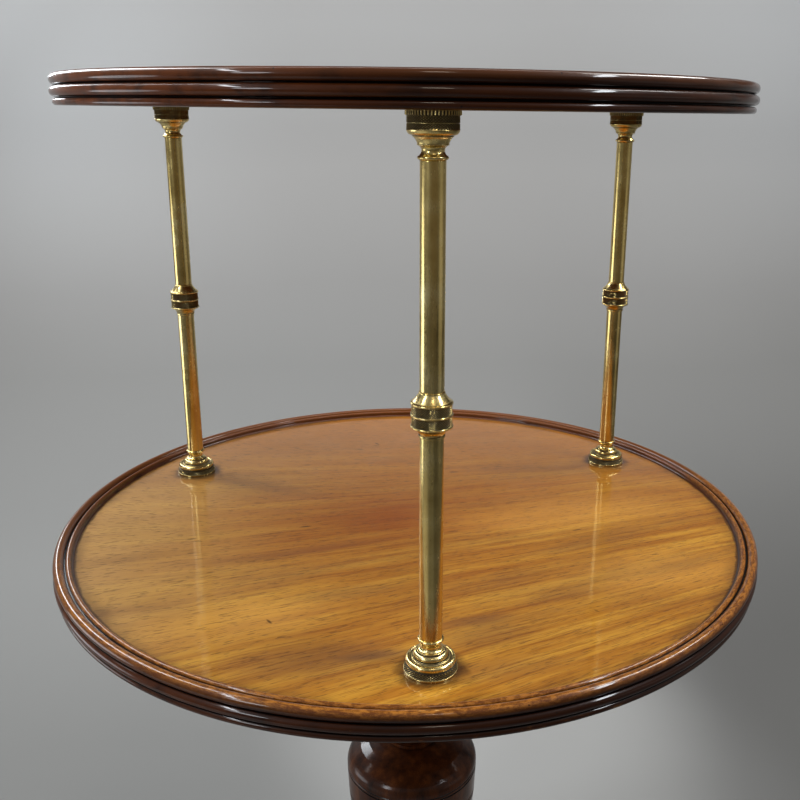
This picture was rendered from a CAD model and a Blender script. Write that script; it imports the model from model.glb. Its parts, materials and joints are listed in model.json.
"""The finish of a two-tier mahogany and brass dumbwaiter table, dressed round its construction, in metres."""
import json
import math

import bpy
import numpy as np
from mathutils import Matrix, Quaternion, Vector


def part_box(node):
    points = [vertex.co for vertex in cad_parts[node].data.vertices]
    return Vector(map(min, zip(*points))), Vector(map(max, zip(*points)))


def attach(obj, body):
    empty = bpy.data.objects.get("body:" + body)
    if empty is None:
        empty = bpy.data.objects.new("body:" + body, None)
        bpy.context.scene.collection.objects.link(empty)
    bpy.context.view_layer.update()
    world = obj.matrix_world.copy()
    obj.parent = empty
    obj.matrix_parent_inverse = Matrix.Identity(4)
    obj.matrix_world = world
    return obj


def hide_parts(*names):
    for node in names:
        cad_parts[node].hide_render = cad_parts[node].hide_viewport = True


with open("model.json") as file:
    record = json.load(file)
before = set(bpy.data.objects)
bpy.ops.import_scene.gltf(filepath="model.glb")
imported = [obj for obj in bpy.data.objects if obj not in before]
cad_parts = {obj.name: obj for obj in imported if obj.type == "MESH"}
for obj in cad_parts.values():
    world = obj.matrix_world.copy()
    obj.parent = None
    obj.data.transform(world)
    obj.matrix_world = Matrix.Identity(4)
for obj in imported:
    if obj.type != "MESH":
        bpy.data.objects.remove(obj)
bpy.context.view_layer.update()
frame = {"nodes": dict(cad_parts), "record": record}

# Places and sizes read from the construction
record = frame["record"]
column_names = ("1", "2", "3")
lower_tray_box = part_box("lower_tray")
upper_tray_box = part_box("upper_tray")
lower_rim_top = lower_tray_box[1].z
lower_underside = lower_tray_box[0].z
upper_rim_top = upper_tray_box[1].z
upper_underside = upper_tray_box[0].z
rim_thickness = lower_rim_top - lower_underside
lower_tray_radius = lower_tray_box[1].x
upper_tray_radius = upper_tray_box[1].x
lower_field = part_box("column_foot_1")[0].z
field_drop = lower_rim_top - lower_field


def middle_of(node):
    """The middle of a node's box."""
    low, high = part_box(node)
    return (low + high) / 2


column_places = {name: middle_of("column_foot_" + name) for name in column_names}

# The photograph's view: the image is 800 pixels square, and lens and aim come from its perspective
image_size = 800
focal_pixels = 930.25
centre_pixel = (457.0, 385.0)
eye = Vector((-0.0401, -0.7873, lower_rim_top + 0.35092))
look_right = 0.1020
look_down = 0.2866
camera_roll = 0.0128
sensor_width = 36.0
nearest_shown = 0.05


def make_camera():
    """The camera where the photographer stood, level with the upper tray."""
    data = bpy.data.cameras.new("view")
    data.sensor_width = sensor_width
    data.lens = focal_pixels * sensor_width / image_size
    data.shift_x = (image_size / 2 - centre_pixel[0]) / image_size
    data.shift_y = (centre_pixel[1] - image_size / 2) / image_size
    data.clip_start = nearest_shown
    forward = Vector((math.cos(look_down) * math.sin(look_right),
                      math.cos(look_down) * math.cos(look_right), -math.sin(look_down)))
    level_right = Vector((math.cos(look_right), -math.sin(look_right), 0))
    level_up = level_right.cross(forward)
    right = level_right * math.cos(camera_roll) + level_up * math.sin(camera_roll)
    up = level_up * math.cos(camera_roll) - level_right * math.sin(camera_roll)
    camera = bpy.data.objects.new("view", data)
    turn = Matrix((right, up, -forward)).transposed()
    camera.matrix_world = Matrix.Translation(eye) @ turn.to_4x4()
    bpy.context.scene.collection.objects.link(camera)
    bpy.context.scene.camera = camera


# Room: one pale sheet that is the floor and curves up into the wall
floor_reach = 4.0
wall_distance = 2.2
wall_bend = 0.9
wall_height = 4.5
bend_steps = 24


def make_backdrop(material):
    """A studio sweep: floor, bend and wall in one smooth sheet."""
    bend_start = wall_distance - wall_bend
    side = [(-floor_reach, 0.0), (bend_start, 0.0)]
    for step in range(1, bend_steps + 1):
        angle = math.pi / 2 * step / bend_steps
        side.append((bend_start + wall_bend * math.sin(angle), wall_bend - wall_bend * math.cos(angle)))
    side.append((wall_distance, wall_height))
    points = [(x, y, z) for y, z in side for x in (-floor_reach, floor_reach)]
    faces = [(2 * row, 2 * row + 1, 2 * row + 3, 2 * row + 2) for row in range(len(side) - 1)]
    mesh = bpy.data.meshes.new("backdrop")
    mesh.from_pydata(points, [], faces)
    mesh.shade_smooth()
    mesh.materials.append(material)
    sweep = bpy.data.objects.new("backdrop", mesh)
    bpy.context.scene.collection.objects.link(sweep)


# Lamps: name, place, width and height, lean in degrees, power in watts, colour and aim
lamp_spread = 160.0
cool_light = (0.90, 0.95, 1.0)
plain_light = (1.0, 0.99, 0.97)
warm_light = (1.0, 0.86, 0.68)
table_middle = (0.0, 0.0, 0.66)
upper_middle = (0.0, 0.0, upper_rim_top)
wall_middle = (-0.2, wall_distance, 1.0)
lamps = [
    ("left_window", (-1.95, 0.18, 0.36), (1.15, 0.72), 0.0, 5.0, cool_light, table_middle),
    ("right_low_window", (1.90, -0.75, 0.45), (1.60, 0.70), 0.0, 0.45, plain_light, table_middle),
    ("front_left_window", (-1.45, -1.38, 1.35), (0.42, 0.50), 0.0, 4.5, cool_light, table_middle),
    ("small_warm_lamp", (0.14, -1.30, 2.30), (0.26, 0.26), 0.0, 1.4, warm_light, table_middle),
    ("left_slant", (-1.30, 0.92, 2.02), (2.70, 0.30), 52.0, 28.0, cool_light, upper_middle),
    ("right_slant", (1.40, 0.36, 2.42), (1.50, 0.27), -40.0, 20.0, plain_light, upper_middle),
    ("right_front_slant", (1.47, -0.75, 2.20), (1.20, 0.20), 52.0, 15.0, cool_light, upper_middle),
    ("left_front_slant", (-1.47, -0.75, 2.20), (1.20, 0.10), -52.0, 8.0, cool_light, upper_middle),
    ("wall_box", (-0.30, 0.60, 2.85), (7.00, 0.46), 0.0, 64.0, plain_light, wall_middle),
]
room_dark = (0.130, 0.110, 0.084)
room_low = (0.165, 0.160, 0.150)
room_light = (0.215, 0.218, 0.220)
towards_light = (-0.30, 0.10, 0.95)
towards_camera = (0.14, -0.985, -0.10)
light_span = (-0.60, 0.85)
camera_span = (0.62, 0.96)


def add_lamp(name, place, size, lean, power, colour, aim):
    """A soft oval lamp that faces a point, leaning about its aim, and isn't seen itself."""
    data = bpy.data.lights.new(name, "AREA")
    data.shape = "ELLIPSE"
    data.size, data.size_y = size
    data.spread = math.radians(lamp_spread)
    data.energy = power
    data.color = colour
    lamp = bpy.data.objects.new(name, data)
    lamp.location = place
    lamp.rotation_mode = "QUATERNION"
    facing = (Vector(aim) - Vector(place)).to_track_quat("-Z", "Y")
    lamp.rotation_quaternion = facing @ Quaternion((0.0, 0.0, 1.0), math.radians(lean))
    lamp.visible_camera = False
    bpy.context.scene.collection.objects.link(lamp)


def make_lights():
    """Windows, slanting strips, a small lamp and a box over the wall; the room is dark behind the camera."""
    for lamp in lamps:
        add_lamp(*lamp)
    world = bpy.data.worlds.new("room")
    bpy.context.scene.world = world
    world.use_nodes = True
    graph = Graph(world.node_tree)
    towards = graph.add("ShaderNodeTexCoord", "Generated")
    brightness = graph.dot(towards, towards_light)
    colour = graph.ramp(graph.span(brightness, *light_span), [(0.0, room_low), (1.0, room_light)])
    behind_camera = graph.span(graph.dot(towards, towards_camera), *camera_span)
    shaded = graph.blend(behind_camera, colour, room_dark)
    graph.feed(world.node_tree.nodes["Background"].inputs["Color"], shaded)
    bpy.context.scene.view_settings.view_transform = "Standard"


# A short way to lay out shader nodes

class Graph:
    """A node tree that grows one node at a time; each call gives back the output that is wanted."""

    def __init__(self, tree):
        self.tree = tree

    def add(self, kind, output, feeds=None, **settings):
        node = self.tree.nodes.new(kind)
        for name, value in settings.items():
            setattr(node, name, value)
        for key, value in (feeds or {}).items():
            self.feed(node.inputs[key], value)
        return node.outputs[output]

    def feed(self, socket, value):
        if isinstance(value, bpy.types.NodeSocket):
            self.tree.links.new(value, socket)
        elif socket.type == "RGBA" and len(value) == 3:
            socket.default_value = (*value, 1.0)
        else:
            socket.default_value = value

    def sum(self, kind, first, second):
        return self.add("ShaderNodeMath", 0, {0: first, 1: second}, operation=kind)

    def plus(self, first, second):
        return self.sum("ADD", first, second)

    def less(self, first, second):
        return self.sum("SUBTRACT", first, second)

    def times(self, first, second):
        return self.sum("MULTIPLY", first, second)

    def most(self, first, second):
        return self.sum("MAXIMUM", first, second)

    def vector(self, kind, output, first, second=(0, 0, 0)):
        return self.add("ShaderNodeVectorMath", output, {0: first, 1: second}, operation=kind)

    def dot(self, first, second):
        return self.vector("DOT_PRODUCT", "Value", first, second)

    def length(self, vector):
        return self.vector("LENGTH", "Value", vector)

    def stretch(self, vector, shares):
        return self.vector("MULTIPLY", "Vector", vector, shares)

    def turn(self, vector, angle, axis="Z_AXIS"):
        return self.add("ShaderNodeVectorRotate", 0, {"Vector": vector, "Angle": angle}, rotation_type=axis)

    def split(self, vector):
        """The three parts of a vector."""
        node = self.tree.nodes.new("ShaderNodeSeparateXYZ")
        self.feed(node.inputs[0], vector)
        return node.outputs

    def blend(self, share, first, second):
        return self.add("ShaderNodeMix", 2, {0: share, 6: first, 7: second}, data_type="RGBA")

    def span(self, value, low, high, start=0.0, end=1.0):
        """Stretch a value from one range to another, softly at both ends."""
        feeds = {"Value": value, "From Min": low, "From Max": high, "To Min": start, "To Max": end}
        return self.add("ShaderNodeMapRange", "Result", feeds, interpolation_type="SMOOTHSTEP")

    def noise(self, vector, scale, detail, roughness=0.5):
        feeds = {"Vector": vector, "Scale": scale, "Detail": detail, "Roughness": roughness}
        return self.add("ShaderNodeTexNoise", 0, feeds)

    def ramp(self, value, stops):
        node = self.tree.nodes.new("ShaderNodeValToRGB")
        band = node.color_ramp
        while len(band.elements) < len(stops):
            band.elements.new(0.5)
        for element, (place, colour) in zip(band.elements, stops):
            element.position = place
            element.color = (*colour, 1.0)
        self.feed(node.inputs[0], value)
        return node.outputs[0]

    def attribute(self, name):
        return self.add("ShaderNodeAttribute", "Fac", attribute_name=name)

    def here(self):
        return self.add("ShaderNodeTexCoord", "Object")

    def effect(self, group, feeds):
        """Place a shared effect and give back all its outputs."""
        node = self.tree.nodes.new("ShaderNodeGroup")
        node.node_tree = group
        for key, value in feeds.items():
            self.feed(node.inputs[key], value)
        return node.outputs


# Shared effects. A span is a value's range and, where it isn't from 0 to 1, what the range becomes.
# A noise is its scale, detail and roughness

socket_kinds = {"value": "NodeSocketFloat", "vector": "NodeSocketVector"}
figure_drift = (5.0, 2.0)
band_stretch = (0.070, 1.0, 1.0)
band_detail = (5.0, 0.60)
streak_stretch = (0.040, 1.0, 1.0)
streak_noise = (420.0, 4.0, 0.65)
pore_stretch = (0.11, 1.0, 1.0)
pore_noise = (1250.0, 1.0, 0.4)
pore_span = (0.56, 0.72)
smoke_stretch = (0.22, 1.0, 1.0)
smoke_noise = (17.0, 4.0, 0.55)
dent_span = (0.06, 0.13, 1.0, 0.0)
wear_detail = (5.0, 0.65)
rubbed_break = 1.8
rubbed_span = (0.35, 0.85)
dirt_break = 0.5
dirt_span = (0.18, 0.62)


def new_effect(name, inputs, outputs):
    """An empty shared effect with its named sockets, and the two ends to wire up."""
    group = bpy.data.node_groups.new(name, "ShaderNodeTree")
    for side, sockets in (("INPUT", inputs), ("OUTPUT", outputs)):
        for socket_name, kind in sockets.items():
            group.interface.new_socket(name=socket_name, in_out=side, socket_type=socket_kinds[kind])
    given = group.nodes.new("NodeGroupInput")
    result = group.nodes.new("NodeGroupOutput")
    return group, Graph(group), given.outputs, result.inputs


def grain_effect():
    """Mahogany figure drawn out along the grain, whose lines fan and bow across the board."""
    inputs = {"Place": "vector", "Slope": "value", "Fan": "value", "Bow": "value", "Sway": "value",
              "Band Scale": "value"}
    outputs = {"Bands": "value", "Streaks": "value", "Pores": "value", "Smoke": "value", "Flow": "vector"}
    group, graph, given, result = new_effect("mahogany_grain", inputs, outputs)
    along, across, upright = graph.split(given["Place"])
    curve = graph.plus(graph.times(across, given["Fan"]), graph.times(along, given["Bow"]))
    slope = graph.plus(given["Slope"], curve)
    drift = graph.less(graph.noise(given["Place"], *figure_drift), 0.5)
    level = graph.less(across, graph.times(along, slope))
    swayed = graph.plus(level, graph.times(drift, given["Sway"]))
    flow = graph.add("ShaderNodeCombineXYZ", 0, {"X": along, "Y": swayed, "Z": upright})
    graph.feed(result["Flow"], flow)
    bands = graph.noise(graph.stretch(flow, band_stretch), given["Band Scale"], *band_detail)
    graph.feed(result["Bands"], bands)
    graph.feed(result["Streaks"], graph.noise(graph.stretch(flow, streak_stretch), *streak_noise))
    pores = graph.noise(graph.stretch(flow, pore_stretch), *pore_noise)
    graph.feed(result["Pores"], graph.span(pores, *pore_span))
    graph.feed(result["Smoke"], graph.noise(graph.stretch(flow, smoke_stretch), *smoke_noise))
    return group


def marks_effect():
    """Small dents and nicks, scattered thinly; a stretched place makes them long."""
    inputs = {"Place": "vector", "Scale": "value", "Share": "value"}
    group, graph, given, result = new_effect("dents", inputs, {"Dents": "value"})
    cells = graph.tree.nodes.new("ShaderNodeTexVoronoi")
    graph.feed(cells.inputs["Vector"], given["Place"])
    graph.feed(cells.inputs["Scale"], given["Scale"])
    luck = graph.add("ShaderNodeSeparateColor", 0, {0: cells.outputs["Color"]})
    lucky = graph.sum("LESS_THAN", luck, given["Share"])
    graph.feed(result["Dents"], graph.times(graph.span(cells.outputs["Distance"], *dent_span), lucky))
    return group


def wear_effect():
    """Where hands rub a piece bare and where dirt stays: crests and hollows, broken up by noise."""
    inputs = {"Place": "vector", "Patch Scale": "value", "Crest": "value", "Hollow": "value"}
    group, graph, given, result = new_effect("wear", inputs, {"Rubbed": "value", "Dirt": "value"})
    patches = graph.less(graph.noise(given["Place"], given["Patch Scale"], *wear_detail), 0.5)
    rubbed = graph.plus(given["Crest"], graph.times(patches, rubbed_break))
    graph.feed(result["Rubbed"], graph.span(rubbed, *rubbed_span))
    dirt = graph.plus(given["Hollow"], graph.times(patches, dirt_break))
    graph.feed(result["Dirt"], graph.span(dirt, *dirt_span))
    return group


grain = grain_effect()
dents = marks_effect()
wear = wear_effect()


def wear_of(graph, place, patch_scale):
    """The wear of a turned piece, which knows its own crests and hollows."""
    feeds = {"Place": place, "Patch Scale": patch_scale, "Crest": graph.attribute("crest"),
             "Hollow": graph.attribute("hollow")}
    return graph.effect(wear, feeds)


def dents_of(graph, place, scale, share):
    """Dents at a scale of places, of which a share has one."""
    return graph.effect(dents, {"Place": place, "Scale": scale, "Share": share})["Dents"]


def new_material(name):
    """A material that holds only its shader so far, with its graph and the shader's inputs."""
    material = bpy.data.materials.new(name)
    material.use_nodes = True
    graph = Graph(material.node_tree)
    shader = material.node_tree.nodes["Principled BSDF"]
    return material, graph, shader.inputs


def raise_bump(graph, inputs, height, distance):
    """Lift the surface by a height that varies over it."""
    feeds = {"Height": height, "Distance": distance, "Strength": 1.0}
    graph.feed(inputs["Normal"], graph.add("ShaderNodeBump", 0, feeds))


bare_wood_shine = 0.08


def polish_over(inputs, weight, roughness, index):
    """Old shellac: a clear coat over wood that hardly shines itself."""
    inputs["Specular IOR Level"].default_value = bare_wood_shine
    inputs["Coat Weight"].default_value = weight
    inputs["Coat Roughness"].default_value = roughness
    inputs["Coat IOR"].default_value = index


# Field of a tray. Depths and shares say how far a colour is laid over what is under it

gold_brown = (0.432, 0.176, 0.018)
light_gold = (0.565, 0.272, 0.032)
band_brown = (0.330, 0.115, 0.013)
back_brown = (0.270, 0.095, 0.010)
streak_brown = (0.225, 0.066, 0.006)
board_gold = (0.700, 0.340, 0.060)
faded_tan = (0.485, 0.275, 0.088)
heart_red = (0.250, 0.050, 0.004)
smoke_brown = (0.190, 0.080, 0.026)
dirt_brown = (0.030, 0.012, 0.006)
field_bands = [(0.30, band_brown), (0.48, gold_brown), (0.66, light_gold)]
field_sway = 0.014
field_band_scale = 78.0
dark_streaks = (0.48, 0.66, 0.0, 0.62)
light_streaks = (0.30, 0.46, 0.30, 0.0)
sun_side = (-3.2, 0.6, 0.0)
sun_noise = (6.0, 2.0)
sun_break = 0.5
sun_span = (0.35, 1.15, 0.0, 0.72)
smoke_span = (0.50, 0.72, 0.0, 0.45)
smoke_break = 1.1

# Lighter boards in the lower field: place in x and y, half length, half width, slope and share
light_boards = [
    (0.130, -0.010, 0.150, 0.045, 0.10, 0.70),
    (0.190, -0.125, 0.100, 0.045, 0.16, 0.60),
    (-0.135, -0.175, 0.080, 0.035, 0.14, 0.50),
]
board_fade = (0.60, 1.75)
back_side = (0.15, 1.0, 0.0)
back_break = 0.05
back_shade = (0.00, 0.22, 0.0, 0.85)

# Smudges in the lower field: place in x and y, half length, half width, slope and depth
smudges = [
    (-0.146, 0.080, 0.080, 0.017, -0.50, 0.55),
    (-0.095, -0.068, 0.090, 0.010, 0.26, 0.50),
    (-0.058, -0.141, 0.050, 0.012, 0.17, 0.40),
    (0.110, -0.155, 0.065, 0.016, 0.27, 0.45),
    (0.120, 0.108, 0.080, 0.016, -0.08, 0.40),
    (-0.040, -0.229, 0.045, 0.010, 0.12, 0.90),
    (0.215, 0.135, 0.030, 0.018, 0.30, 0.60),
    (-0.235, -0.070, 0.060, 0.010, 0.20, 0.35),
    (-0.075, -0.232, 0.075, 0.026, 0.10, 0.50),
    (0.040, -0.205, 0.055, 0.022, 0.28, 0.50),
    (0.000, 0.215, 0.230, 0.075, 0.00, 0.40),
    (0.041, -0.190, 0.045, 0.014, 0.15, 0.75),
    (0.050, -0.252, 0.060, 0.014, 0.12, 0.35),
]
smudge_fade = (0.65, 1.75)

# Red heart of both fields: ovals as place in x and y, half length, half width and slope
heart_glow = (-0.014, -0.002, 0.230, 0.120, 0.18)
glow_fade = (0.55, 1.75, 0.50, 0.0)
heart_core = (-0.014, -0.002, 0.065, 0.060, 0.18)
core_fade = (0.50, 1.65, 0.60, 0.0)

pore_share = 0.50
fleck_stretch = (0.22, 1.0, 1.0)
flecks = {"scale": 95.0, "share": 0.045}
nick_turn = 1.0
nick_stretch = (0.30, 1.0, 1.0)
field_nicks = {"scale": 75.0, "share": 0.05}
mark_share = 0.75
dirt_cloud = (60.0, 5.0, 0.65)
edge_overlap = 0.0025
edge_waver = 0.005
edge_line = (-0.0035, -0.0005, 0.0, 0.80)
edge_patches = (22.0, 4.0, 0.65)
patch_waver = 0.040
edge_shade = (0.004, 0.026, 0.0, 0.55)
foot_waver = 0.016
foot_ring = (0.008, 0.020, 0.85, 0.0)
field_rough_noise = (24.0, 3.0)
field_rough = (0.3, 0.7, 0.36, 0.50)
field_polish = {"weight": 0.75, "roughness": 0.08, "index": 1.5}
field_ripple = (11.0, 2.0)
field_dapple = (75.0, 2.0)
dapple_height = 0.11
fibre_height = 0.03
pit_height = -0.09
field_bump = 0.0007


def oval(graph, place, x, y, half_length, half_width, slope):
    """How far a place is from a slanting oval's middle, where one is its edge."""
    moved = graph.vector("SUBTRACT", "Vector", place, (x, y, 0.0))
    turned = graph.turn(moved, -math.atan(slope))
    return graph.length(graph.stretch(turned, (1 / half_length, 1 / half_width, 0.0)))


def round_edge(graph, distance, radius, low, high, start, end):
    """A span whose range is measured from a radius."""
    return graph.span(distance, radius + low, radius + high, start, end)


def field_colour(graph, here, place, figure):
    """Golden figure, faded on one side."""
    colour = graph.ramp(figure["Bands"], field_bands)
    streaked = graph.blend(graph.span(figure["Streaks"], *dark_streaks), colour, streak_brown)
    lit = graph.blend(graph.span(figure["Streaks"], *light_streaks), streaked, light_gold)
    sunned = graph.plus(graph.dot(here, sun_side), graph.times(graph.noise(place, *sun_noise), sun_break))
    return graph.blend(graph.span(sunned, *sun_span), lit, faded_tan)


def lower_field_boards(graph, here, lit, broken):
    """Some lighter boards and a browner back, as only the lower field has them."""
    for *board, share in light_boards:
        reach = graph.plus(oval(graph, here, *board), broken)
        lit = graph.blend(graph.span(reach, *board_fade, share, 0.0), lit, board_gold)
    far = graph.plus(graph.dot(here, back_side), graph.times(broken, back_break))
    return graph.blend(graph.span(far, *back_shade), lit, back_brown)


def lower_field_smudges(graph, here, smoke, broken):
    for *smudge, depth in smudges:
        reach = graph.plus(oval(graph, here, *smudge), broken)
        smoke = graph.most(smoke, graph.span(reach, *smudge_fade, depth, 0.0))
    return smoke


def field_dirt(graph, here, place, field_radius, feet):
    """Dirt that stays along the rim and round the columns' feet."""
    cloud = graph.noise(place, *dirt_cloud)
    flat = graph.stretch(here, (1.0, 1.0, 0.0))
    from_middle = graph.length(flat)
    edge_radius = field_radius + edge_overlap
    line_place = graph.plus(from_middle, graph.times(cloud, edge_waver))
    line = round_edge(graph, line_place, edge_radius, *edge_line)
    shade_place = graph.plus(from_middle, graph.times(graph.noise(place, *edge_patches), patch_waver))
    dirt = graph.most(line, round_edge(graph, shade_place, edge_radius, *edge_shade))
    for foot in feet:
        reach = graph.vector("DISTANCE", "Value", flat, (foot.x, foot.y, 0.0))
        ring = graph.less(reach, graph.times(cloud, foot_waver))
        dirt = graph.most(dirt, graph.span(ring, *foot_ring))
    return dirt


def field_mahogany(name, offset, figure_lines, field_radius, feet):
    """A tray's field: faded golden mahogany under old polish, dark round its edge and its columns' feet."""
    material, graph, inputs = new_material(name)
    here = graph.here()
    place = graph.vector("ADD", "Vector", here, offset)
    slope, fan, bow = figure_lines
    figure = graph.effect(grain, {"Place": place, "Slope": slope, "Fan": fan, "Bow": bow, "Sway": field_sway,
                                  "Band Scale": field_band_scale})
    broken = graph.times(figure["Smoke"], smoke_break)
    lit = field_colour(graph, here, place, figure)
    smoke = graph.span(figure["Smoke"], *smoke_span)
    if feet:
        lit = lower_field_boards(graph, here, lit, broken)
        smoke = lower_field_smudges(graph, here, smoke, broken)
    smoked = graph.blend(smoke, lit, smoke_brown)
    glow = graph.plus(oval(graph, here, *heart_glow), broken)
    glowing = graph.blend(graph.span(glow, *glow_fade), smoked, heart_red)
    core = graph.plus(oval(graph, here, *heart_core), broken)
    reddened = graph.blend(graph.span(core, *core_fade), glowing, heart_red)
    pored = graph.blend(graph.times(figure["Pores"], pore_share), reddened, dirt_brown)
    long_flecks = dents_of(graph, graph.stretch(figure["Flow"], fleck_stretch), **flecks)
    nick_place = graph.stretch(graph.turn(place, nick_turn), nick_stretch)
    marks = graph.most(long_flecks, dents_of(graph, nick_place, **field_nicks))
    marked = graph.blend(graph.times(marks, mark_share), pored, dirt_brown)
    dirt = field_dirt(graph, here, place, field_radius, feet)
    graph.feed(inputs["Base Color"], graph.blend(dirt, marked, dirt_brown))
    graph.feed(inputs["Roughness"], graph.span(graph.noise(place, *field_rough_noise), *field_rough))
    polish_over(inputs, **field_polish)
    dapple = graph.times(graph.noise(place, *field_dapple), dapple_height)
    waves = graph.plus(graph.noise(place, *field_ripple), dapple)
    pits = graph.times(graph.most(figure["Pores"], marks), pit_height)
    fine = graph.plus(graph.times(figure["Streaks"], fibre_height), pits)
    raise_bump(graph, inputs, graph.plus(waves, fine), field_bump)
    return material


# Reeded rims

rim_dark = (0.012, 0.0030, 0.0012)
rim_brown = (0.160, 0.0380, 0.0060)
rim_tan = (0.150, 0.046, 0.0095)
rim_gold = (0.450, 0.170, 0.026)
near_black = (0.006, 0.003, 0.0025)
rim_figure = {"Slope": 0.25, "Sway": 0.02, "Band Scale": 70.0}
rim_bands = (0.26, 0.60, 0.15, 1.0)
rim_turn_share = 0.30
rim_patch_scale = 200.0
handled_side = (0.70, -3.6, 0.0)
handled_noise = (9.0, 3.0)
handled_break = 0.9
handled_span = (0.10, 0.95)
top_zone = (-0.0060, -0.0018)
inward_zone = (-0.0028, -0.0002, 1.0, 0.35)
dark_left = (-0.24, 0.02)
dark_right = (0.24, 0.33, 1.0, 0.0)
dark_front = (0.0, 0.12)
front_share = 0.80
lower_share = 0.50
upper_top_share = 0.35
tan_share = 0.85
lower_crest_share = 0.45
upper_crest_share = 0.12
mottle_noise = (460.0, 6.0, 0.80)
mottle_span = (0.42, 0.60)
top_clear_share = 0.80
rim_nicks = {"scale": 160.0, "share": 0.22}
nick_share = 0.8
rim_rough = (0.0, 1.0, 0.34, 0.46)
rim_polish = {"weight": 0.70, "roughness": 0.07, "index": 1.42}
rim_ripple = (160.0, 3.0)
rim_bump = 0.00005


def rim_top(graph, height, rim_top_height):
    """Where a rim's uppermost reed is, by height."""
    low, high = top_zone
    return graph.span(height, rim_top_height + low, rim_top_height + high)


def rim_mahogany():
    """The reeded rims: dark polish, rubbed through to orange gold on the crests and black in the grooves."""
    material, graph, inputs = new_material("rim_mahogany")
    place = graph.here()
    sideways, back, height = graph.split(place)
    frontwards = graph.times(back, -1.0)
    turn = graph.sum("ARCTAN2", sideways, frontwards)
    from_middle = graph.length(graph.stretch(place, (1.0, 1.0, 0.0)))
    turn_length = graph.times(turn, lower_tray_radius * rim_turn_share)
    round_rim = graph.add("ShaderNodeCombineXYZ", 0, {"X": turn_length, "Y": from_middle, "Z": height})
    figure = graph.effect(grain, {"Place": place, **rim_figure})
    colour = graph.blend(graph.span(figure["Bands"], *rim_bands), rim_dark, rim_brown)
    worn = wear_of(graph, round_rim, rim_patch_scale)
    patchy = graph.plus(graph.dot(place, handled_side),
                        graph.times(graph.noise(place, *handled_noise), handled_break))
    handled = graph.span(patchy, *handled_span)
    is_lower = graph.sum("LESS_THAN", height, lower_rim_top + rim_thickness)
    inward = round_edge(graph, from_middle, lower_tray_radius, *inward_zone)
    lower_top = graph.times(graph.times(rim_top(graph, height, lower_rim_top), is_lower), inward)
    upper_top = graph.times(rim_top(graph, height, upper_rim_top), upper_top_share)
    middle = graph.times(graph.span(sideways, *dark_left), graph.span(sideways, *dark_right))
    front = graph.times(middle, graph.span(frontwards, *dark_front))
    colour = graph.blend(graph.times(front, front_share), colour, rim_dark)
    colour = graph.blend(graph.times(is_lower, lower_share), colour, rim_dark)
    either_top = graph.most(lower_top, upper_top)
    colour = graph.blend(graph.times(either_top, tan_share), colour, rim_tan)
    crest_share = graph.plus(graph.times(is_lower, lower_crest_share), upper_crest_share)
    share = graph.most(crest_share, lower_top)
    mottle = graph.span(graph.noise(round_rim, *mottle_noise), *mottle_span)
    clear = graph.most(graph.times(lower_top, top_clear_share), worn["Rubbed"])
    bare = graph.times(clear, mottle)
    rubbed = graph.blend(graph.times(graph.times(bare, handled), share), colour, rim_gold)
    dirtied = graph.blend(worn["Dirt"], rubbed, near_black)
    nicks = graph.times(dents_of(graph, place, **rim_nicks), nick_share)
    graph.feed(inputs["Base Color"], graph.blend(nicks, dirtied, near_black))
    graph.feed(inputs["Roughness"], graph.span(worn["Rubbed"], *rim_rough))
    polish_over(inputs, **rim_polish)
    raise_bump(graph, inputs, graph.less(graph.noise(place, *rim_ripple), nicks), rim_bump)
    return material


# Pedestal, legs and bearer block

dark_bands = [(0.30, (0.016, 0.0045, 0.0018)), (0.52, (0.075, 0.019, 0.0040)), (0.75, (0.170, 0.048, 0.0090))]
dark_figure = {"Sway": 0.012, "Band Scale": 75.0}
dark_patch_scale = 120.0
dark_rough_noise = (30.0, 3.0)
dark_rough = (0.3, 0.7, 0.36, 0.48)
dark_polish = {"weight": 0.60, "roughness": 0.16, "index": 1.42}
dark_ripple = (28.0, 2.0)
dark_fibre_height = 0.06
dark_bump = 0.0004


def pedestal_mahogany(name, heading, lift):
    """Dark dense mahogany with a deep gloss; its grain runs along a heading and rises at an angle."""
    material, graph, inputs = new_material(name)
    place = graph.here()
    turned = graph.turn(graph.turn(place, -heading), lift, "Y_AXIS")
    figure = graph.effect(grain, {"Place": turned, **dark_figure})
    colour = graph.ramp(figure["Bands"], dark_bands)
    pored = graph.blend(graph.times(figure["Pores"], pore_share), colour, near_black)
    worn = wear_of(graph, place, dark_patch_scale)
    graph.feed(inputs["Base Color"], graph.blend(worn["Dirt"], pored, near_black))
    graph.feed(inputs["Roughness"], graph.span(graph.noise(place, *dark_rough_noise), *dark_rough))
    polish_over(inputs, **dark_polish)
    fibres = graph.times(figure["Streaks"], dark_fibre_height)
    raise_bump(graph, inputs, graph.plus(graph.noise(place, *dark_ripple), fibres), dark_bump)
    return material


# Metals

brass_tones = [(0.30, (0.580, 0.415, 0.140)), (0.52, (0.750, 0.570, 0.220)), (0.72, (0.830, 0.680, 0.330))]
brass_speck = (0.160, 0.110, 0.045)
brass_tarnish = (0.040, 0.027, 0.013)
brass_patch_scale = 160.0
brass_cloud = (38.0, 4.0, 0.6)
speck_noise = (700.0, 3.0)
speck_span = (0.60, 0.75, 0.0, 0.40)
tarnish_metallic = (0.2, 1.0, 1.0, 0.55)
drawn_stretch = (1.0, 1.0, 0.06)
smear_noise = (420.0, 4.0, 0.6)
haze_span = (0.35, 0.65)
haze_reach = 0.14
dirt_haze = 0.25
cloud_height = 0.30
smear_height = 0.16
brass_bump = 0.00004
iron_cloud = (90.0, 6.0, 0.7)
iron_tones = [(0.35, (0.030, 0.026, 0.024)), (0.55, (0.070, 0.055, 0.045)), (0.75, (0.150, 0.070, 0.035))]
iron_metallic = 0.7
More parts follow.
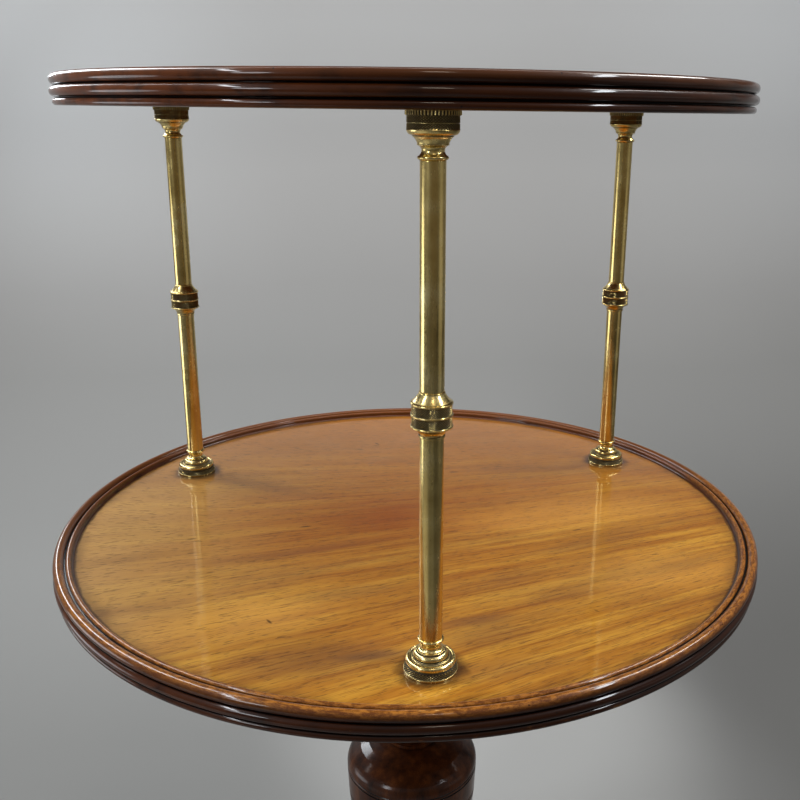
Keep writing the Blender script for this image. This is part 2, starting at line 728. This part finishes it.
iron_rough = (0.3, 0.7, 0.45, 0.75)
iron_bump = 0.0004


def old_brass(name, polish):
    """Antique brass: soft polish, greenish brown tarnish in the hollows and a clouded surface."""
    material, graph, inputs = new_material(name)
    place = graph.here()
    worn = wear_of(graph, place, brass_patch_scale)
    cloud = graph.noise(place, *brass_cloud)
    metal = graph.ramp(cloud, brass_tones)
    specks = graph.span(graph.noise(place, *speck_noise), *speck_span)
    specked = graph.blend(specks, metal, brass_speck)
    graph.feed(inputs["Base Color"], graph.blend(worn["Dirt"], specked, brass_tarnish))
    graph.feed(inputs["Metallic"], graph.span(worn["Dirt"], *tarnish_metallic))
    smear = graph.noise(graph.stretch(place, drawn_stretch), *smear_noise)
    hazy = graph.plus(graph.times(smear, 0.5), graph.times(cloud, 0.5))
    base = graph.span(hazy, *haze_span, polish, polish + haze_reach)
    graph.feed(inputs["Roughness"], graph.plus(base, graph.times(worn["Dirt"], dirt_haze)))
    uneven = graph.plus(graph.times(cloud, cloud_height), graph.times(smear, smear_height))
    raise_bump(graph, inputs, uneven, brass_bump)
    return material


def old_iron():
    """Forged iron, dark and dry with a little rust."""
    material, graph, inputs = new_material("old_iron")
    cloud = graph.noise(graph.here(), *iron_cloud)
    graph.feed(inputs["Base Color"], graph.ramp(cloud, iron_tones))
    inputs["Metallic"].default_value = iron_metallic
    graph.feed(inputs["Roughness"], graph.span(cloud, *iron_rough))
    raise_bump(graph, inputs, cloud, iron_bump)
    return material


# Undersides of the trays

plain_figure = {"Slope": 0.25, "Sway": 0.03, "Band Scale": 55.0}
plain_bands = [(0.30, (0.070, 0.028, 0.013)), (0.55, (0.135, 0.058, 0.025)), (0.75, (0.200, 0.095, 0.042))]
plain_rough = (0.3, 0.7, 0.50, 0.68)
plain_bump = 0.0002


def underside_mahogany():
    """The hidden face of the boards: plain scraped wood, brown with age and never polished."""
    material, graph, inputs = new_material("underside_mahogany")
    figure = graph.effect(grain, {"Place": graph.here(), **plain_figure})
    colour = graph.ramp(figure["Bands"], plain_bands)
    pored = graph.blend(graph.times(figure["Pores"], pore_share), colour, dirt_brown)
    graph.feed(inputs["Base Color"], pored)
    graph.feed(inputs["Roughness"], graph.span(figure["Streaks"], *plain_rough))
    raise_bump(graph, inputs, figure["Streaks"], plain_bump)
    return material


# Paper of the room: its tones by how far along floor and wall, and patches by place

paper_run = 4.0
paper_stops = [
    (0.125, (0.178, 0.178, 0.172)), (0.275, (0.205, 0.205, 0.199)), (0.525, (0.212, 0.211, 0.206)),
    (0.625, (0.250, 0.247, 0.243)), (0.740, (0.330, 0.326, 0.323)), (0.850, (0.355, 0.356, 0.358)),
    (0.890, (0.345, 0.345, 0.348)), (0.950, (0.070, 0.070, 0.072)),
]
paper_rough = 0.9
paper_cloud = (1.2, 3.0)
cloud_reach = 0.20
paper_dim = (0.092, 0.090, 0.086)
dim_near = (0.60, 2.15, 1.0, 0.0)
dim_side = (0.30, 0.62)
paper_bright = (0.520, 0.540, 0.560)
bright_height = (0.25, 1.25)
left_bright = (0.20, 1.15)
right_bright = (0.45, 1.45, 0.0, 0.60)
bright_end = (3.50, 3.72, 1.0, 0.0)
bright_share = 0.85
paper_light = (0.280, 0.278, 0.270)
light_patch = (0.16, 0.50, 0.40, 0.42, 0.0)
light_fade = (0.35, 1.0, 0.9, 0.0)
paper_pale = (0.560, 0.540, 0.500)
left_patch = (-1.15, -0.85, 0.90, 0.85, 0.0)
left_fade = (0.45, 1.0, 0.9, 0.0)


def backdrop_grey():
    """Pale matt paper, dimmer low at the right, brighter at the top corners, with two lighter patches."""
    material, graph, inputs = new_material("backdrop_grey")
    place = graph.here()
    cloud = graph.times(graph.less(graph.noise(place, *paper_cloud), 0.5), cloud_reach)
    sideways, back, height = graph.split(place)
    run = graph.plus(graph.plus(back, height), cloud)
    paper = graph.ramp(graph.sum("DIVIDE", run, paper_run), paper_stops)
    near = graph.span(back, *dim_near)
    right = graph.span(graph.plus(sideways, cloud), *dim_side)
    dimmed = graph.blend(graph.times(near, right), paper, paper_dim)
    leftward = graph.span(graph.times(sideways, -1.0), *left_bright)
    rightward = graph.span(sideways, *right_bright)
    corners = graph.times(graph.span(height, *bright_height), graph.most(leftward, rightward))
    corners = graph.times(corners, graph.span(run, *bright_end))
    brighter = graph.blend(graph.times(corners, bright_share), dimmed, paper_bright)
    under = graph.plus(oval(graph, place, *light_patch), cloud)
    lighter = graph.blend(graph.span(under, *light_fade), brighter, paper_light)
    beside = graph.span(oval(graph, place, *left_patch), *left_fade)
    graph.feed(inputs["Base Color"], graph.blend(beside, lighter, paper_pale))
    inputs["Roughness"].default_value = paper_rough
    return material


# Turned pieces: outlines as radius and height, spun round an upright axis

milling_row = 0.00078
milling_depth = 0.00050
milling_kinds = ("diamonds", "flutes")
tooth_masks = ((-0.10, 1.0), (1.10, 0.0))
arc_step = math.radians(11.0)
fewest_steps = 3
sharp_turn = math.radians(28.0)
soft_corner = 0.00022
corner_share = 0.35
corner_steps = (0.0, 0.33, 0.67, 1.0)
support_gap = 0.0004
sharp_edge = math.radians(34.0)
hollow_limit = 0.12
tiny = 1e-9
on_axis = 1e-6


class Turning:
    """A turned piece's outline, as radius, height and milling, with the solid on its left."""

    def __init__(self, radius, height):
        self.points = [(radius, height, None)]

    def run(self, radius, height):
        if math.dist(self.points[-1][:2], (radius, height)) > 0:
            self.points.append((radius, height, None))
        return self

    def mill(self, radius, height, kind):
        """Go straight up a band that is milled with a pattern of small teeth."""
        start_radius, start_height, _ = self.points[-1]
        rows = round(abs(height - start_height) / milling_row)
        for row in range(rows + 1):
            share = row / rows
            here = start_radius + (radius - start_radius) * share
            self.points.append((here, start_height + (height - start_height) * share, kind))
        return self

    def arc(self, radius, height, rise):
        """Go round an arc that stands off its chord by rise, out of the solid where rise is above zero."""
        start_radius, start_height, _ = self.points[-1]
        out, up = radius - start_radius, height - start_height
        half = math.hypot(out, up) / 2
        bend = (half ** 2 + rise ** 2) / (2 * abs(rise))
        sweep = 2 * math.asin(min(1.0, half / bend))
        steps = max(fewest_steps, math.ceil(sweep / arc_step))
        side = math.copysign(1.0, rise)
        for step in range(1, steps):
            angle = sweep * (step / steps - 0.5)
            along = 0.5 + bend * math.sin(angle) / (2 * half)
            off = side * (bend * math.cos(angle) - bend + abs(rise)) / (2 * half)
            across = start_radius + out * along + up * off
            self.points.append((across, start_height + up * along - out * off, None))
        self.points.append((radius, height, None))
        return self

    def follow(self, shares, inner, outer, base, height):
        """Go through points given as shares of a reach and a height, with arcs and milled bands."""
        reach = outer - inner
        for radius_share, height_share, rise_share in shares:
            radius = inner + reach * radius_share
            level = base + height * height_share
            if rise_share in milling_kinds:
                self.mill(radius, level, rise_share)
            elif rise_share:
                self.arc(radius, level, reach * rise_share)
            else:
                self.run(radius, level)
        return self

    def softened(self):
        """The outline with its sharp corners slightly rounded, as use leaves them."""
        kept = [self.points[0]]
        for before, corner, after in zip(self.points, self.points[1:], self.points[2:]):
            here = Vector(corner[:2])
            first = here - Vector(before[:2])
            second = Vector(after[:2]) - here
            if corner[2] or min(first.length, second.length) == 0 or first.angle(second) < sharp_turn:
                kept.append(corner)
                continue
            cut = min(soft_corner, first.length * corner_share, second.length * corner_share)
            start = here - first.normalized() * cut
            end = here + second.normalized() * cut
            for share in corner_steps:
                kept.append((*start.lerp(here, share).lerp(here.lerp(end, share), share), None))
        kept.append(self.points[-1])
        return self.supported(kept)

    @staticmethod
    def supported(points):
        """The same outline with a point close to both ends of each long run, so that it shades true."""
        kept = [points[0]]
        for before, after in zip(points, points[1:]):
            start, end = Vector(before[:2]), Vector(after[:2])
            length = (end - start).length
            if length > 4 * support_gap and not (before[2] and after[2]):
                share = support_gap / length
                kept.append((*start.lerp(end, share), None))
                kept.append((*start.lerp(end, 1 - share), None))
            kept.append(after)
        return kept

    def upside_down(self, top):
        """The outline hung from a height instead of stood on zero."""
        self.points = [(radius, top - height, kind) for radius, height, kind in reversed(self.points)]
        return self


def standing(points, window):
    """How far each outline point lies in a hollow and how far it stands on a crest, from its neighbours."""
    path = np.array([point[:2] for point in points])
    ahead = np.roll(path, -1, 0) - path
    ahead[-1] = ahead[-2]
    behind = np.roll(ahead, 1, 0)
    behind[0] = ahead[0]
    along = ahead / (np.linalg.norm(ahead, axis=1)[:, None] + tiny)
    along = along + behind / (np.linalg.norm(behind, axis=1)[:, None] + tiny)
    normal = np.stack([along[:, 1], -along[:, 0]], 1)
    normal /= np.linalg.norm(normal, axis=1)[:, None] + tiny
    gaps = path[None, :, :] - path[:, None, :]
    near = np.linalg.norm(gaps, axis=2) < window
    proud = np.einsum("ijk,ik->ij", gaps, normal)
    hollow = np.where(near, proud, 0.0).max(1) / window
    crest = -np.where(near, proud, 0.0).min(1) / window
    return np.clip(hollow, 0, 1), np.clip(crest * (hollow < hollow_limit), 0, 1)


def spin(name, points, segments, centre, window, materials, material_of=None):
    """Spin an outline round an upright axis into a mesh object that knows its crests and hollows."""
    hollow, crest = standing(points, window)
    corners, masks, rings = [], [], []
    for index, (radius, height, kind) in enumerate(points):
        count = 1 if radius < on_axis else segments
        rings.append((len(corners), count))
        for number in range(count):
            angle = 2 * math.pi * number / segments
            valley = kind is not None and (number + (index if kind == "diamonds" else 0)) % 2 == 0
            reach = radius - milling_depth * valley
            corners.append((centre[0] + reach * math.cos(angle), centre[1] + reach * math.sin(angle), height))
            masks.append(tooth_masks[valley] if kind else (hollow[index], crest[index]))
    faces, slots = [], []
    for row in range(len(points) - 1):
        low, low_count = rings[row]
        high, high_count = rings[row + 1]
        slot = material_of(points[row], points[row + 1]) if material_of else 0
        for number in range(segments):
            following = (number + 1) % segments
            if low_count == 1 and high_count == 1:
                continue
            quad = [low + number, low + following, high + following, high + number]
            if low_count == 1:
                made = [(low, high + following, high + number)]
            elif high_count == 1:
                made = [(low + number, low + following, high)]
            elif points[row][2] == points[row + 1][2] == "diamonds":
                turn = (number + row) % 2
                made = [tuple(quad[(turn + place) % 4] for place in part) for part in ((0, 1, 2), (0, 2, 3))]
            else:
                made = [tuple(quad)]
            faces.extend(made)
            slots.extend([slot] * len(made))
    return mesh_piece(name, corners, faces, masks, materials, slots)


def mesh_piece(name, corners, faces, masks, materials, slots):
    """A smooth-shaded mesh with sharp corners, its wear masks and its materials."""
    mesh = bpy.data.meshes.new(name)
    mesh.from_pydata(corners, [], faces)
    mesh.polygons.foreach_set("material_index", slots)
    for number, mask in enumerate(("hollow", "crest")):
        attribute = mesh.attributes.new(mask, "FLOAT", "POINT")
        attribute.data.foreach_set("value", [pair[number] for pair in masks])
    for material in materials:
        mesh.materials.append(material)
    mesh.shade_smooth()
    mesh.set_sharp_from_angle(angle=sharp_edge)
    piece = bpy.data.objects.new(name, mesh)
    bpy.context.scene.collection.objects.link(piece)
    return piece


def put_in_place(piece, node, body="table"):
    """Let a finished piece stand for its node."""
    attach(piece, body)
    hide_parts(node)


# Trays

reed_height_shares = (0.376, 0.349, 0.239)
reed_setback_shares = (0.023, 0.0, 0.073)
lower_groove_share = 0.027
groove_depth = 0.0065
inner_reed_width = 0.0042
inner_reed_drop = 0.0012
quirk_width = 0.0016
quirk_depth = 0.0009
cove_width = 0.0020
cove_hollow = 0.0006
tray_segments = 384
wood_window = 0.0015
radius_slack = 1e-5
height_slack = 1e-6


def tray_outline(radius, top):
    """A dished board with three reeds on its edge and a small reed and cove inside; its field radius too."""
    top_reed, middle_reed, bottom_reed = [rim_thickness * share for share in reed_height_shares]
    top_back, middle_back, bottom_back = [rim_thickness * share for share in reed_setback_shares]
    bottom = top - rim_thickness
    bottom_axis = radius - bottom_back - bottom_reed / 2
    middle_axis = radius - middle_back - middle_reed / 2
    top_axis = radius - top_back - top_reed / 2
    groove_top = bottom + bottom_reed + rim_thickness * lower_groove_share
    edge_depth = inner_reed_drop + inner_reed_width / 2
    inner_base = top - edge_depth
    top_inside = top_axis - math.sqrt((top_reed - edge_depth) * edge_depth)
    chord = math.dist((top_axis, top), (top_inside, inner_base))
    top_rise = top_reed / 2 - math.sqrt((top_reed / 2) ** 2 - (chord / 2) ** 2)
    reed_outside = top_inside - quirk_width
    reed_inside = reed_outside - inner_reed_width
    field_radius = reed_inside - cove_width
    outline = Turning(0.0, bottom)
    outline.run(bottom_axis * 0.5, bottom)
    outline.run(bottom_axis, bottom)
    outline.arc(bottom_axis, bottom + bottom_reed, bottom_reed / 2)
    outline.run(radius - groove_depth, bottom + bottom_reed)
    outline.run(radius - groove_depth, groove_top)
    outline.run(middle_axis, groove_top)
    outline.arc(middle_axis, groove_top + middle_reed, middle_reed / 2)
    outline.run(top_axis, groove_top + middle_reed)
    outline.run(top_axis, top - top_reed)
    outline.arc(top_axis, top, top_reed / 2)
    outline.arc(top_inside, inner_base, top_rise)
    outline.arc(reed_outside, inner_base, -quirk_depth)
    outline.arc(reed_inside, inner_base, inner_reed_width / 2)
    outline.arc(field_radius, top - field_drop, -cove_hollow)
    outline.run(field_radius * 0.5, top - field_drop)
    outline.run(0.0, top - field_drop)
    return outline.softened(), bottom_axis, field_radius


def make_tray(name, radius, top, field_material):
    """A tray whose field, rim and underside each have their own finish."""
    points, underside_edge, field_radius = tray_outline(radius, top)
    level = top - field_drop
    bottom = top - rim_thickness

    def part_of(first, second):
        reach = max(first[0], second[0]) - radius_slack
        if reach <= field_radius and min(first[1], second[1]) > level - height_slack:
            return 0
        if reach <= underside_edge and max(first[1], second[1]) < bottom + height_slack:
            return 2
        return 1

    materials = [field_material, finishes["rim"], finishes["underside"]]
    return spin(name, points, tray_segments, (0.0, 0.0), wood_window, materials, part_of)


nut_recess_radius = 0.011
nut_recess_depth = 0.0065
recess_segments = 64


def cut_nut_recesses(tray):
    """Bore the recess for each tie rod's nut into the lower tray's underside."""
    for name in column_names:
        centre = column_places[name]
        base = lower_underside - nut_recess_depth
        top = lower_underside + nut_recess_depth
        outline = Turning(0.0, base).run(nut_recess_radius, base)
        outline.run(nut_recess_radius, top).run(0.0, top)
        drill = spin("drill", outline.points, recess_segments, (centre.x, centre.y), wood_window,
                     tray.data.materials[:], lambda first, second: 2)
        cut = tray.modifiers.new("recess", "BOOLEAN")
        cut.operation = "DIFFERENCE"
        cut.solver = "EXACT"
        cut.object = drill
        bpy.context.view_layer.update()
        graph = bpy.context.evaluated_depsgraph_get()
        bored = bpy.data.meshes.new_from_object(tray.evaluated_get(graph))
        tray.modifiers.clear()
        tray.data = bored
        bpy.data.objects.remove(drill)
    tray.data.shade_smooth()
    tray.data.set_sharp_from_angle(angle=sharp_edge)


# Board of each field: where it was cut from, and its lines' slope, fan and bow
lower_board = ((0.0, 0.0, 0.0), (0.17, -1.0, 0.30))
upper_board = ((1.7, 0.6, 0.0), (0.08, 0.0, 0.0))


def make_trays():
    """Both trays; the columns' feet mark the lower one's field."""
    lower_radius = tray_outline(lower_tray_radius, lower_rim_top)[2]
    upper_radius = lower_radius - lower_tray_radius + upper_tray_radius
    feet = [column_places[name] for name in column_names]
    lower_material = field_mahogany("lower_field_mahogany", *lower_board, lower_radius, feet)
    upper_material = field_mahogany("upper_field_mahogany", *upper_board, upper_radius, [])
    lower = make_tray("lower_tray_board", lower_tray_radius, lower_rim_top, lower_material)
    cut_nut_recesses(lower)
    put_in_place(lower, "lower_tray")
    upper = make_tray("upper_tray_board", upper_tray_radius, upper_rim_top, upper_material)
    put_in_place(upper, "upper_tray")


# Brass columns

casting_segments = 100
brass_window = 0.0016

# Outlines of the castings, from the tube outwards and along the axis: shares of reach and height,
# then the rise of the arc to there as a share of the reach, zero for a straight run, or the milling
foot_shares = [
    (1.000, 0.067, 0), (0.953, 0.075, 0), (0.953, 0.217, "diamonds"), (0.829, 0.225, 0), (0.791, 0.250, 0),
    (0.697, 0.425, 0.140), (0.659, 0.425, 0), (0.450, 0.417, -0.040), (0.422, 0.442, 0),
    (0.374, 0.442, 0), (0.185, 0.600, 0.090), (0.166, 0.600, 0), (0.166, 0.642, 0), (0.109, 0.650, 0),
    (-0.100, 0.758, -0.060), (0.052, 0.908, -0.045), (0.052, 0.992, 0.062), (0, 1, 0),
]
cup_shares = [
    (1.000, 0.010, 0), (1.000, 0.095, "flutes"), (0.905, 0.105, 0), (0.905, 0.240, "diamonds"),
    (0.858, 0.247, 0), (0.858, 0.262, 0), (0.905, 0.269, 0), (0.905, 0.371, "diamonds"),
    (0.527, 0.495, 0.120), (0.503, 0.513, 0), (0.178, 0.662, -0.050), (0.195, 0.669, 0),
    (0.195, 0.691, 0), (0.112, 0.698, 0), (-0.107, 0.800, -0.060), (0.065, 0.902, -0.045),
    (0.065, 0.982, 0.105), (0, 1, 0),
]
collar_shares = [
    (0.133, 0, 0), (0.133, 0.051, 0), (0.062, 0.058, 0), (0.805, 0.214, -0.120), (0.911, 0.221, 0),
    (0.911, 0.272, 0.088), (0.895, 0.272, 0), (0.895, 0.473, "diamonds"), (0.911, 0.473, 0),
    (0.911, 0.524, 0.088), (0.895, 0.524, 0), (0.895, 0.725, "diamonds"), (0.911, 0.725, 0),
    (0.911, 0.779, 0.088), (0.770, 0.785, 0), (0.080, 0.965, -0.030), (0.100, 0.970, 0),
    (0.100, 0.992, 0), (0, 1, 0),
]


def half_width(node):
    low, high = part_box(node)
    return (high.x - low.x) / 2


def column_piece(name, node, outline):
    """Spin an outline about the axis of its column and let it stand for its node."""
    axis = middle_of(node)
    points = outline.softened()
    piece = spin(name, points, casting_segments, (axis.x, axis.y), brass_window, [finishes["brass"]])
    put_in_place(piece, node)


def make_column(number):
    """One column: foot, lower tube, collar, upper tube and cup."""
    tube = half_width("lower_tube_" + number)
    lower_low, lower_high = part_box("lower_tube_" + number)
    upper_low, upper_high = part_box("upper_tube_" + number)
    foot_reach = half_width("column_foot_" + number)
    foot = Turning(0.0, lower_field).run(foot_reach, lower_field)
    foot.follow(foot_shares, tube, foot_reach, lower_field, lower_low.z - lower_field).run(0.0, lower_low.z)
    column_piece("foot_casting_" + number, "column_foot_" + number, foot)
    cup_reach = half_width("column_cup_" + number)
    cup = Turning(0.0, 0.0).run(cup_reach, 0.0)
    cup.follow(cup_shares, tube, cup_reach, 0.0, upper_underside - upper_high.z)
    cup.run(0.0, upper_underside - upper_high.z).upside_down(upper_underside)
    column_piece("cup_casting_" + number, "column_cup_" + number, cup)
    collar = Turning(0.0, lower_high.z)
    collar.follow(collar_shares, tube, half_width("column_collar_" + number), lower_high.z,
                  upper_low.z - lower_high.z).run(0.0, upper_low.z)
    column_piece("collar_casting_" + number, "column_collar_" + number, collar)
    for place, base, top in (("lower", lower_low.z, lower_high.z), ("upper", upper_low.z, upper_high.z)):
        length = Turning(0.0, base).run(tube, base).run(tube, top).run(0.0, top)
        column_piece(place + "_drawn_tube_" + number, place + "_tube_" + number, length)


# Pedestal

hub_radius = 0.043
hub_height = 0.101
hub_ring_height = 0.009
hub_ring_overhang = 0.0025
hub_neck_radius = 0.031
neck_height = 0.018
vase_foot_radius = 0.037
bowl_height = 0.046
bowl_rise = 0.008
bowl_setback = 0.00325
vase_side_height = 0.053
vase_side_rise = 0.0007
vase_ring_shares = (0.43, 0.94)
vase_ring_width = 0.005
vase_ring_groove = 0.0011
vase_edge_setback = 0.0060
vase_edge_height = 0.0123
vase_edge_rise = 0.0016
shoulder_height = 0.0267
shoulder_rise = 0.0029
vase_shoulder_radius = 0.0250
stem_moulding_height = 0.0082
stem_radius = 0.0205
stem_top_radius = 0.0175
stem_cap_height = 0.030
stem_cap_radius = 0.031
pedestal_segments = 192
stem_base_shares = [
    (1.10, 0.00, 0), (1.10, 0.35, 0), (0.10, 0.45, 0), (-0.02, 0.75, -0.12), (0.75, 1.05, 0),
    (0.75, 1.85, 0.42), (0.10, 1.90, 0), (0, 2.30, 0),
]
stem_cap_shares = [
    (0, 0.00, 0), (0.12, 0.04, 0), (0.30, 0.16, 0.10), (0.12, 0.28, 0.10), (0.10, 0.34, 0),
    (0.72, 0.66, -0.16), (0.78, 0.70, 0), (1.00, 0.76, 0), (1.00, 0.94, 0.05), (0.94, 1.00, 0),
]


def incised_ring(outline, height, radius_at):
    """Two fine grooves with a flush bead between them."""
    low, high = height - vase_ring_width / 2, height + vase_ring_width / 2
    edge = vase_ring_groove
    outline.run(radius_at(low), low)
    outline.run(radius_at(low + edge / 2) - edge, low + edge / 2)
    outline.run(radius_at(low + edge) - edge / 2, low + edge)
    outline.arc(radius_at(high - edge) - edge / 2, high - edge, edge / 2)
    outline.run(radius_at(high - edge / 2) - edge, high - edge / 2)
    outline.run(radius_at(high), high)


def make_pedestal():
    """The turned pedestal: hub, neck, vase and stem, up to the bearer block."""
    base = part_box("pedestal")[0].z
    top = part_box("bearer_block")[0].z
    vase_radius = half_width("pedestal")
    hub_top = base + hub_height
    bowl_top = hub_top + neck_height + bowl_height
    widest = bowl_top + vase_side_height
    vase_top = widest + shoulder_height
    bowl_radius = vase_radius - bowl_setback

    def side(height):
        share = (height - bowl_top) / vase_side_height
        return bowl_radius + bowl_setback * share + vase_side_rise * 4 * share * (1 - share)

    outline = Turning(0.0, base)
    outline.run(hub_radius, base).run(hub_radius, hub_top - hub_ring_height)
    outline.run(hub_radius + hub_ring_overhang, hub_top - hub_ring_height)
    outline.arc(hub_radius + hub_ring_overhang, hub_top, hub_ring_height / 3)
    outline.run(hub_neck_radius, hub_top + hub_ring_overhang)
    outline.arc(vase_foot_radius, hub_top + neck_height, -hub_ring_overhang)
    outline.arc(bowl_radius, bowl_top, bowl_rise)
    for share in vase_ring_shares:
        incised_ring(outline, bowl_top + vase_side_height * share, side)
    outline.run(vase_radius, widest)
    outline.arc(vase_radius - vase_edge_setback, widest + vase_edge_height, vase_edge_rise)
    outline.arc(vase_shoulder_radius, vase_top, shoulder_rise)
    outline.follow(stem_base_shares, stem_radius, vase_shoulder_radius, vase_top, stem_moulding_height)
    outline.arc(stem_top_radius, top - stem_cap_height, (stem_radius - stem_top_radius) / 3)
    outline.follow(stem_cap_shares, stem_top_radius, stem_cap_radius, top - stem_cap_height, stem_cap_height)
    outline.run(0.0, top)
    materials = [finishes["pedestal"]]
    piece = spin("turned_pedestal", outline.softened(), pedestal_segments, (0.0, 0.0), wood_window, materials)
    put_in_place(piece, "pedestal")


# All finishes, and the construction's own meshes that keep their shape

column_polish = 0.16
castor_polish = 0.26
block_heading = 0.3
leg_fall = 0.45
finishes = {
    "rim": rim_mahogany(),
    "underside": underside_mahogany(),
    "brass": old_brass("old_brass", column_polish),
    "castor_brass": old_brass("castor_brass", castor_polish),
    "iron": old_iron(),
    "pedestal": pedestal_mahogany("pedestal_mahogany", 0.0, math.pi / 2),
    "bearer_block": pedestal_mahogany("block_mahogany", block_heading, 0.0),
}
for name in column_names:
    toe = middle_of("leg_" + name)
    heading = math.atan2(toe.y, toe.x)
    finishes["leg_" + name] = pedestal_mahogany("leg_mahogany_" + name, heading, -leg_fall)

make_camera()
make_backdrop(backdrop_grey())
make_lights()
make_trays()
for name in column_names:
    make_column(name)
make_pedestal()

slot_finishes = {
    "tray_mahogany": "rim", "pedestal_mahogany": "pedestal", "brass": "castor_brass", "iron": "iron",
}
for row in record["subparts"]:
    name = row["node"]
    node = frame["nodes"][name]
    finish = name if name in finishes else slot_finishes[row["material_slot"]]
    node.data.materials.clear()
    node.data.materials.append(finishes[finish])
